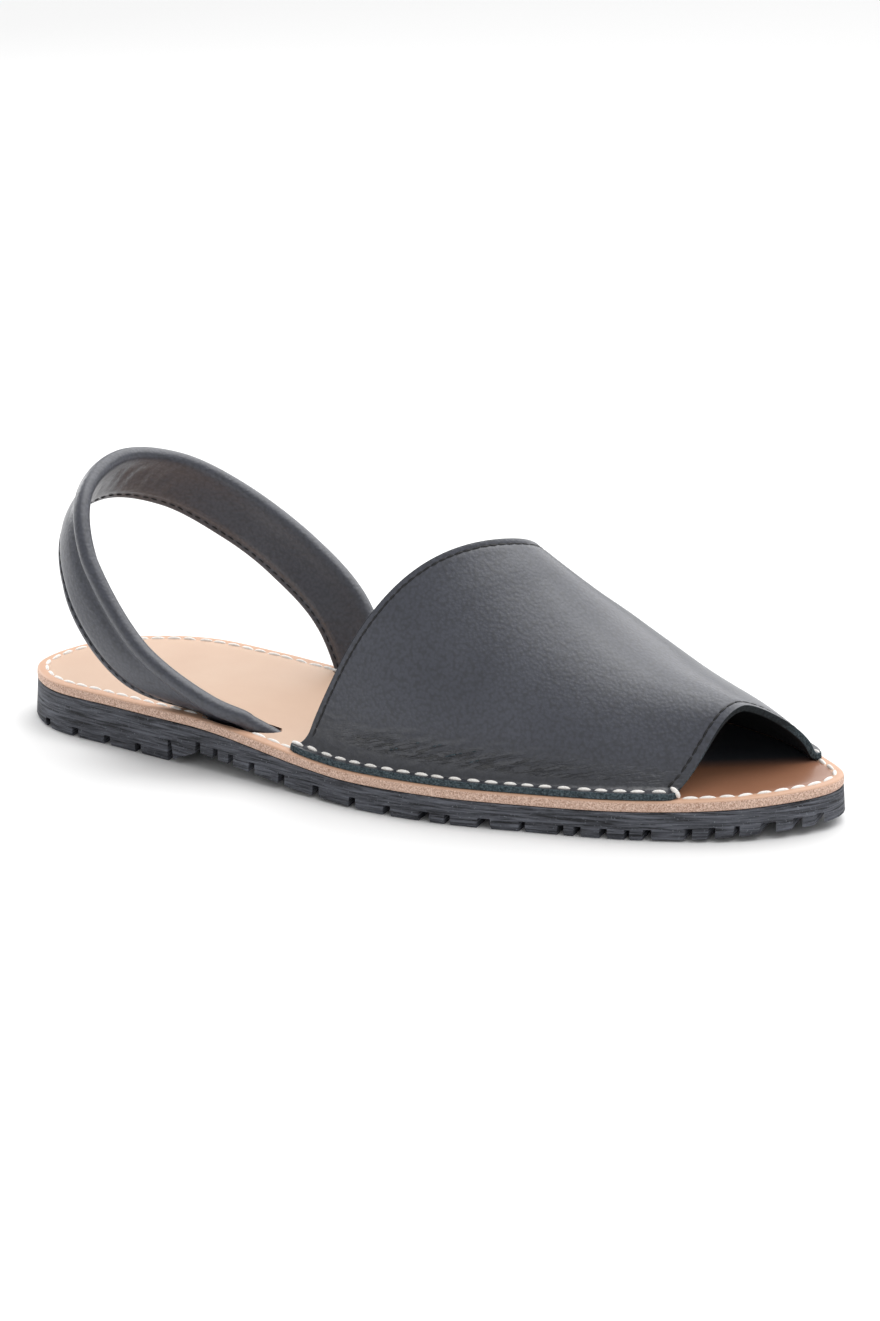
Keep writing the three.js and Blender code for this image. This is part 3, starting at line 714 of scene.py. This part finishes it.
low_end = add_node(tree, "ShaderNodeMapRange", {
    "Value": up_at.outputs["Y"], "From Min": 0.0, "From Max": 0.012}, interpolation_type="SMOOTHSTEP")
high_end = add_node(tree, "ShaderNodeMapRange", {
    "Value": up_at.outputs["Y"], "From Min": 0.03, "From Max": 0.09, "To Min": 1.0, "To Max": 0.0},
    interpolation_type="SMOOTHSTEP")
rear_end = add_node(tree, "ShaderNodeMapRange", {
    "Value": up_at.outputs["X"], "From Min": 1.02, "From Max": 1.25}, interpolation_type="SMOOTHSTEP")
front_end = add_node(tree, "ShaderNodeMapRange", {
    "Value": up_at.outputs["X"], "From Min": 1.6, "From Max": 2.15, "To Min": 1.0, "To Max": 0.25},
    interpolation_type="SMOOTHSTEP")
low_side = add_node(tree, "ShaderNodeMath", {0: up_at.outputs["Y"], 1: -0.5}, operation="GREATER_THAN")
band = add_node(tree, "ShaderNodeMath", {
    0: low_end.outputs[0], 1: high_end.outputs[0]}, operation="MULTIPLY")
reach = add_node(tree, "ShaderNodeMath", {
    0: rear_end.outputs[0], 1: front_end.outputs[0]}, operation="MULTIPLY")
drawn_mask = add_node(tree, "ShaderNodeMath", {
    0: band.outputs[0], 1: reach.outputs[0]}, operation="MULTIPLY")
drawn_bump = add_node(tree, "ShaderNodeBump", {
    "Height": lines.outputs[0], "Strength": drawn_mask.outputs[0], "Distance": 0.7 * MM,
    "Normal": leather_bump.outputs["Normal"]})
tree.links.new(drawn_bump.outputs["Normal"], shader.inputs["Normal"])
# Painted shade: the crease troughs and the leather close to the seam are darkened toward #101217
crease_shade = add_node(tree, "ShaderNodeMath", {0: 1.0, 1: lines.outputs[0]}, operation="SUBTRACT")
crease_shade = add_node(tree, "ShaderNodeMath", {
    0: crease_shade.outputs[0], 1: drawn_mask.outputs[0]}, operation="MULTIPLY")
seam_shade = add_node(tree, "ShaderNodeMapRange", {
    "Value": up_at.outputs["Y"], "From Min": 0.02, "From Max": 0.12, "To Min": 0.5, "To Max": 0.0})
seam_shade = add_node(tree, "ShaderNodeMath", {
    0: seam_shade.outputs[0], 1: low_side.outputs[0]}, operation="MULTIPLY")
polish_and_shade = add_node(tree, "ShaderNodeMath", {
    0: crease_shade.outputs[0], 1: seam_shade.outputs[0]}, operation="MAXIMUM")
# 101217 is the painted shade colour for the creases and the seam band
shaded_tint = add_node(tree, "ShaderNodeMix", {
    "Factor": polish_and_shade.outputs[0], 6: tint.outputs[2], 7: linear("#101217")}, data_type="RGBA")
# Painted shade: the pits of the pebbled grain are darkened toward #15171c
pit_shade = add_node(tree, "ShaderNodeMapRange", {
    "Value": pebble.outputs["Distance"], "From Min": 0.3, "From Max": 0.65, "To Min": 0.0, "To Max": 0.45})
pit_shade = add_node(tree, "ShaderNodeMix", {
    "Factor": pit_shade.outputs[0], 6: shaded_tint.outputs[2], 7: linear("#15171c")}, data_type="RGBA")
tree.links.new(pit_shade.outputs[2], shader.inputs["Base Color"])

# The flesh side: matt black suede
flesh, tree, shader = new_material("black_flesh_side", Roughness=0.92, Specular_IOR_Level=0.25)
place = add_node(tree, "ShaderNodeTexCoord").outputs["Object"]
nap = add_node(tree, "ShaderNodeTexNoise", {"Vector": place, "Scale": 1400.0, "Detail": 4.0})
nap_tone = add_node(tree, "ShaderNodeMix", {
    "Factor": nap.outputs["Fac"], 6: linear("#0f1012"), 7: linear("#25272b")}, data_type="RGBA")
tree.links.new(nap_tone.outputs[2], shader.inputs["Base Color"])
nap_bump = add_node(tree, "ShaderNodeBump", {
    "Height": nap.outputs["Fac"], "Strength": 0.5, "Distance": 0.3 * MM})
tree.links.new(nap_bump.outputs["Normal"], shader.inputs["Normal"])

# The cut edge: dyed fibres, blue green and paler where they stand up, blacked at throat and toe
fibre, tree, shader = new_material("dyed_cut_edge", Roughness=0.88, Specular_IOR_Level=0.3)
place = add_node(tree, "ShaderNodeTexCoord").outputs["Object"]
strands = add_node(tree, "ShaderNodeTexNoise", {
    "Vector": place, "Scale": 1700.0, "Detail": 5.0, "Roughness": 0.75})
strand_range = add_node(tree, "ShaderNodeMapRange", {
    "Value": strands.outputs["Fac"], "From Min": 0.4, "From Max": 0.68})
strand_tone = add_node(tree, "ShaderNodeMix", {
    "Factor": strand_range.outputs[0], 6: linear("#1c262b"), 7: linear("#5c6b72")}, data_type="RGBA")
height_at = add_node(tree, "ShaderNodeSeparateXYZ", {"Vector": place})
blacked = add_node(tree, "ShaderNodeMapRange", {
    "Value": height_at.outputs["Z"], "From Min": 0.021, "From Max": 0.026, "To Max": 0.8})
strand_tone = add_node(tree, "ShaderNodeMix", {
    "Factor": blacked.outputs[0], 6: strand_tone.outputs[2], 7: linear("#090a0c")}, data_type="RGBA")
tree.links.new(strand_tone.outputs[2], shader.inputs["Base Color"])
strand_bump = add_node(tree, "ShaderNodeBump", {
    "Height": strands.outputs["Fac"], "Strength": 0.7, "Distance": 0.4 * MM})
tree.links.new(strand_bump.outputs["Normal"], shader.inputs["Normal"])

for part in (black, flesh, fibre):
    vamp.data.materials.append(part)
apply_modifier(
    vamp, "SOLIDIFY", thickness=VAMP_THICK * MM, offset=0, material_offset=1, material_offset_rim=2)
apply_modifier(
    vamp, "BEVEL", width=CUT_ROUND * MM, segments=2, limit_method="ANGLE",
    angle_limit=math.radians(60), material=2)
activate(vamp)
bpy.ops.object.shade_smooth_by_angle(angle=math.radians(50))
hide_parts("vamp")
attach(vamp, "root")

# Heel strap: a folded strip of the same leather with a padded roll along its top.
# It is sewn shut along a thin lower seam and passes round the heel.
# Its two ends go down through the footbed's slots and are glued between board and sole.
STRAP_STEPS = 260
frames = strap_frames(STRAP_STEPS)
strap_steps = np.linalg.norm(np.diff([centre for centre, _, _ in frames], axis=0), axis=1)
strap_run = np.concatenate([[0], np.cumsum(strap_steps)])
wide_at, out_at = np.meshgrid(section[:, 0], np.ones(len(frames)))
out_at = out_at * section[:, 1]
# Short wrinkles inside the strap where it turns round the heel: place along and across it in mm,
# length, slant in degrees, and depth
STRAP_WRINKLES = [
    dict(at=118, across=2.0, long=7, slant=62, deep=0.40),
    dict(at=121, across=1.0, long=8, slant=66, deep=0.46),
    dict(at=125, across=0.0, long=7, slant=58, deep=0.43),
    dict(at=128, across=2.5, long=5, slant=40, deep=0.34),
    dict(at=131, across=-1.0, long=7, slant=70, deep=0.40),
    dict(at=135, across=0.8, long=6, slant=64, deep=0.34),
    dict(at=139, across=-2.0, long=6, slant=60, deep=0.28),
    dict(at=112, across=-1.0, long=6, slant=72, deep=0.28),
]
inside_face = (section[:, 1] < -0.7) & (section[:, 0] < 5)
for wrinkle in STRAP_WRINKLES:
    slant = math.radians(wrinkle["slant"])
    aside_run = strap_run[:, None] - wrinkle["at"]
    aside_wide = wide_at - wrinkle["across"]
    along = aside_run * math.cos(slant) + aside_wide * math.sin(slant)
    aside = aside_wide * math.cos(slant) - aside_run * math.sin(slant)
    run_out = np.exp(-(along / (0.5 * wrinkle["long"])) ** 2)
    soft, ridge = np.exp(-(aside / 0.8) ** 2) * run_out, np.exp(-((aside - 1.4) / 0.8) ** 2) * run_out
    out_at = out_at + inside_face * wrinkle["deep"] * (soft - 0.7 * ridge)
rings = np.array([
    c + w[:, None] * wide + n[:, None] * out for (c, wide, out), w, n in zip(frames, wide_at, out_at)])
rings = np.concatenate([rings, rings[:, :1]], axis=1)
lowest = rubber_top(np.clip(rings[..., 0], 0, SOLE_LENGTH)) + SEAT
rings[..., 2] = np.maximum(rings[..., 2], lowest)
strap_uv = np.stack([
    np.repeat(strap_run[:, None], rings.shape[1], axis=1),
    np.repeat(np.append(section[:, 0], section[0, 0])[None], rings.shape[0], axis=0)], axis=-1)
strap = grid_piece("leather_heel_strap", rings, strap_uv * MM * 10 - [0, 1])
edit_all(
    strap,
    (bpy.ops.mesh.remove_doubles, {"threshold": 0.002 * MM}),
    (bpy.ops.mesh.fill_holes, {"sides": 0}),
    (bpy.ops.mesh.normals_make_consistent, {"inside": False}),
)
strap.data.materials.append(black)
activate(strap)
bpy.ops.object.shade_smooth_by_angle(angle=math.radians(60))
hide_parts("heel_strap")
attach(strap, "root")

# White seam: one row of thick waxed thread round the whole edge.
# It goes through flange, footbed and rubber, and on bare board at heel and toe.
STITCH_SINK = 0.1
SEAM_LONG_ON_VAMP = 4.1
SEAM_LONG_ON_BOARD = 4.9
SEAM_WIDE = 1.2
SEAM_HIGH = 0.72
SEAM_IN = [(0, 2.9), (60, 3.0), (92, 3.4), (112, 2.6), (140, 2.3), (200, 2.3), (215, 2.5), (247, 2.6)]
white, tree, shader = new_material("white_waxed_thread", Roughness=0.6, Sheen_Weight=0.3)
place = add_node(tree, "ShaderNodeTexCoord").outputs["Object"]
ply = add_node(tree, "ShaderNodeTexNoise", {"Vector": place, "Scale": 1600.0, "Detail": 2.0})
ply_tone = add_node(tree, "ShaderNodeMix", {
    "Factor": ply.outputs["Fac"], 6: linear("#ddd6cc"), 7: linear("#ffffff")}, data_type="RGBA")
tree.links.new(ply_tone.outputs[2], shader.inputs["Base Color"])


def stitch_row(name, line, outward, pitch, long, wide, high, material, seed):
    """One mesh of stitches along a line of points in mm, each bowed over the surface, its ends sunk."""
    bpy.ops.object.select_all(action="DESELECT")
    bpy.ops.mesh.primitive_uv_sphere_add(segments=10, ring_count=7, radius=1)
    one = bpy.context.object
    shape = np.array([v.co for v in one.data.vertices])
    faces = [list(p.vertices) for p in one.data.polygons]
    bpy.data.objects.remove(one)
    shape = np.column_stack([shape[:, 2] / 2, shape[:, 0] * wide / 2, shape[:, 1] * high])
    shape[:, 2] -= STITCH_SINK + 0.35 * high * (2 * shape[:, 0]) ** 4
    run = np.concatenate([[0], np.cumsum(np.linalg.norm(np.diff(line, axis=0), axis=1))])
    longs = np.broadcast_to(long, len(line))
    count = int(run[-1] / pitch)
    rng = np.random.default_rng(seed)
    places = (np.arange(count) + 0.5) * run[-1] / count
    vertices, polygons = [], []
    for k, spot in enumerate(places):
        spot += rng.normal(0, 0.03 * pitch)
        centre, ahead, behind = (
            np.array([np.interp(spot + shift, run, line[:, c]) for c in range(3)])
            for shift in (0, 0.8, -0.8))
        normal = unit(np.array([np.interp(spot, run, outward[:, c]) for c in range(3)]))
        along = unit(ahead - behind)
        aside = unit(np.cross(normal, along))
        along = np.cross(aside, normal)
        twist = rng.normal(0, 0.06)
        turned_along = along * math.cos(twist) + aside * math.sin(twist)
        aside = aside * math.cos(twist) - along * math.sin(twist)
        size = shape * [rng.uniform(0.92, 1.06), rng.uniform(0.9, 1.1), rng.uniform(0.9, 1.1)]
        size[:, 0] *= np.interp(spot, run, longs)
        base = len(vertices)
        vertices += list(centre + size @ np.array([turned_along, aside, normal]))
        polygons += [[base + v for v in face] for face in faces]
    mesh = bpy.data.meshes.new(name)
    mesh.from_pydata([tuple((v - MIDDLE) * MM) for v in vertices], [], polygons)
    mesh.polygons.foreach_set("use_smooth", [True] * len(mesh.polygons))
    piece = bpy.data.objects.new(name, mesh)
    bpy.context.scene.collection.objects.link(piece)
    edit_all(piece, (bpy.ops.mesh.normals_make_consistent, {"inside": False}))
    piece.data.materials.append(material)
    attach(piece, "root")
    return piece


def top_of(flat):
    """Height and slope of the topmost leather near the sole's edge, for points in mm."""
    found = []
    on_vamp = []
    for x, y in flat:
        best = None
        leather = False
        start = Vector(((x - MIDDLE[0]) * MM, (y - MIDDLE[1]) * MM, (board_top(x) + 6) * MM))
        for piece in (vamp, board):
            hit, point, normal, _ = piece.ray_cast(start, Vector((0, 0, -1)), distance=0.02)
            if hit and (best is None or point.z > best[0].z):
                best = (point, normal)
                leather = piece is vamp
        on_vamp.append(leather)
        found.append(best or (Vector((start.x, start.y, board_top(x) * MM)), Vector((0, 0, 1))))
    spots = np.array([list(p) for p, _ in found]) / MM + MIDDLE
    return spots, np.array([list(n) for _, n in found]), np.array(on_vamp)


bpy.context.view_layer.update()
near_line, far_line = ring_of_edge(2), ring_of_edge(4)
seam_share = (np.interp(near_line[:, 0], *np.transpose(SEAM_IN))[:, None] - 2) / (4 - 2)
seam_flat = resampled(near_line + (far_line - near_line) * seam_share, 700)
seam_spots, seam_out, seam_leather = top_of(seam_flat)
seam_long = np.where(seam_leather, SEAM_LONG_ON_VAMP, SEAM_LONG_ON_BOARD)
seam = stitch_row(
    "white_seam", seam_spots, seam_out, STITCH_PITCH, seam_long, SEAM_WIDE, SEAM_HIGH,
    material=white, seed=11)

# Black topstitching: fine waxed thread in single rows, sewn by machine.
# It runs just inside the throat and toe edges of the vamp and along the strap's lower seam.
THROAT_STITCH = dict(pitch=2.5, long=3.1, wide=0.8, high=0.42)
TOE_STITCH = dict(pitch=2.7, long=3.3, wide=0.85, high=0.42)
STRAP_STITCH = dict(pitch=2.9, long=2.2, wide=0.5, high=0.3)
STRAP_STITCH_IN = 1.5
STRAP_SEAM_HALF = 0.95
STRAP_STITCH_ENDS = 24
dark_thread, tree, shader = new_material("black_sewing_thread", Roughness=0.5)
place = add_node(tree, "ShaderNodeTexCoord").outputs["Object"]
lint = add_node(tree, "ShaderNodeTexNoise", {"Vector": place, "Scale": 2500.0})
lint_tone = add_node(tree, "ShaderNodeMix", {
    "Factor": lint.outputs["Fac"], 6: linear("#050506"), 7: linear("#15161a")}, data_type="RGBA")
tree.links.new(lint_tone.outputs[2], shader.inputs["Base Color"])

def contour(distance, wanted, start, end):
    """Points and outward directions on the vamp's skin where a distance field has one value."""
    spots, out = [], []
    rows = range(VAMP_LINES) if start < end else range(VAMP_LINES - 1, -1, -1)
    for i in range(FOLD_COLUMNS - 2, vamp_points.shape[1] - FOLD_COLUMNS + 2):
        for j in rows:
            a, b = distance[j, i] - wanted, distance[j + 1, i] - wanted
            if a * b <= 0 and a != b:
                t = a / (a - b)
                normal = unit(vamp_out[j, i] * (1 - t) + vamp_out[j + 1, i] * t)
                spot = vamp_points[j, i] * (1 - t) + vamp_points[j + 1, i] * t
                spots.append(spot + normal * VAMP_THICK / 2)
                out.append(normal)
                break
    return np.array(spots), np.array(out)


throat_spots, throat_out = contour(from_throat, TOPSTITCH_IN, 0, 1)
throat_row = stitch_row(
    "throat_topstitch", throat_spots, throat_out, **THROAT_STITCH, material=dark_thread, seed=5)
toe_spots, toe_out = contour(from_toe, TOE_STITCH_IN, 1, 0)
toe_row = stitch_row("toe_topstitch", toe_spots, toe_out, **TOE_STITCH, material=dark_thread, seed=6)
strap_in = STRAP_STITCH_IN - STRAP_WIDTH / 2
middle_frames = frames[STRAP_STITCH_ENDS:-STRAP_STITCH_ENDS]
for name, face, seed in (("strap_stitch_outside", 1, 7), ("strap_stitch_inside", -1, 8)):
    line = np.array([c + strap_in * wide + face * STRAP_SEAM_HALF * out for c, wide, out in middle_frames])
    out = np.array([face * out for c, wide, out in middle_frames])
    row_piece = stitch_row(name, line, out, **STRAP_STITCH, material=dark_thread, seed=seed)

# Floor, light and camera: a plain pale paper floor 14 m square, under a soft studio light.
# The light comes from behind and above, with two soft boxes; the camera stands where the photo's did.
bpy.ops.object.select_all(action="DESELECT")
bpy.ops.mesh.primitive_plane_add(size=14, location=(0, 0, 0))
floor = bpy.context.object
floor.name = "floor"
paper, tree, shader = new_material("white_paper_sweep", Roughness=0.9, Specular_IOR_Level=0.2)
shader.inputs["Base Color"].default_value = linear("#ebebeb")
floor.data.materials.append(paper)

scene = bpy.context.scene
scene.view_settings.view_transform = "Standard"
scene.view_settings.look = "None"
world = bpy.data.worlds.new("studio")
world.use_nodes = True
world.node_tree.nodes["Background"].inputs["Color"].default_value = (1, 1, 1, 1)
world.node_tree.nodes["Background"].inputs["Strength"].default_value = 0.55
scene.world = world

# One very broad soft light behind and above, as from a high window, gives the sheen along the ridge
window = bpy.data.lights.new("high_window", "SUN")
window.energy = 2.3
window.angle = math.radians(75)
window_lamp = bpy.data.objects.new("high_window", window)
window_lamp.rotation_euler = Vector((-0.18, -0.72, -0.80)).to_track_quat("-Z", "Y").to_euler()
scene.collection.objects.link(window_lamp)


def soft_box(name, size, power, place):
    """A rectangular area lamp that faces straight down."""
    light = bpy.data.lights.new(name, "AREA")
    light.shape = "RECTANGLE"
    light.size, light.size_y = size
    light.energy = power
    lamp = bpy.data.objects.new(name, light)
    lamp.location = place
    scene.collection.objects.link(lamp)
    return lamp


# A small soft box at the left gives the grey band down the strap
left_box = soft_box("left_softbox", (0.6, 0.8), 8, (-1.1, 0.35, 0.6))
left_aim = Vector((-0.08, 0, 0.03)) - left_box.location
left_box.rotation_euler = left_aim.to_track_quat("-Z", "Y").to_euler()
# A soft box overhead lifts the top of the vamp
soft_box("overhead_softbox", (1.3, 1.1), 8.5, (0.6, 0.0, 1.3))

CAMERA_TURN = math.radians(24.95)
CAMERA_RISE = math.radians(19.6)
CAMERA_AWAY = 0.8501
target = Vector((-0.01401, 0.04014, 0.015))
back = Vector((
    math.sin(CAMERA_TURN) * math.cos(CAMERA_RISE), -math.cos(CAMERA_TURN) * math.cos(CAMERA_RISE),
    math.sin(CAMERA_RISE)))
lens = bpy.data.cameras.new("camera")
lens.lens = 76.6
lens.sensor_width = 36
lens.clip_start = 0.01
camera = bpy.data.objects.new("camera", lens)
camera.location = target + back * CAMERA_AWAY
camera.rotation_euler = (-back).to_track_quat("-Z", "Y").to_euler()
scene.collection.objects.link(camera)
scene.camera = camera
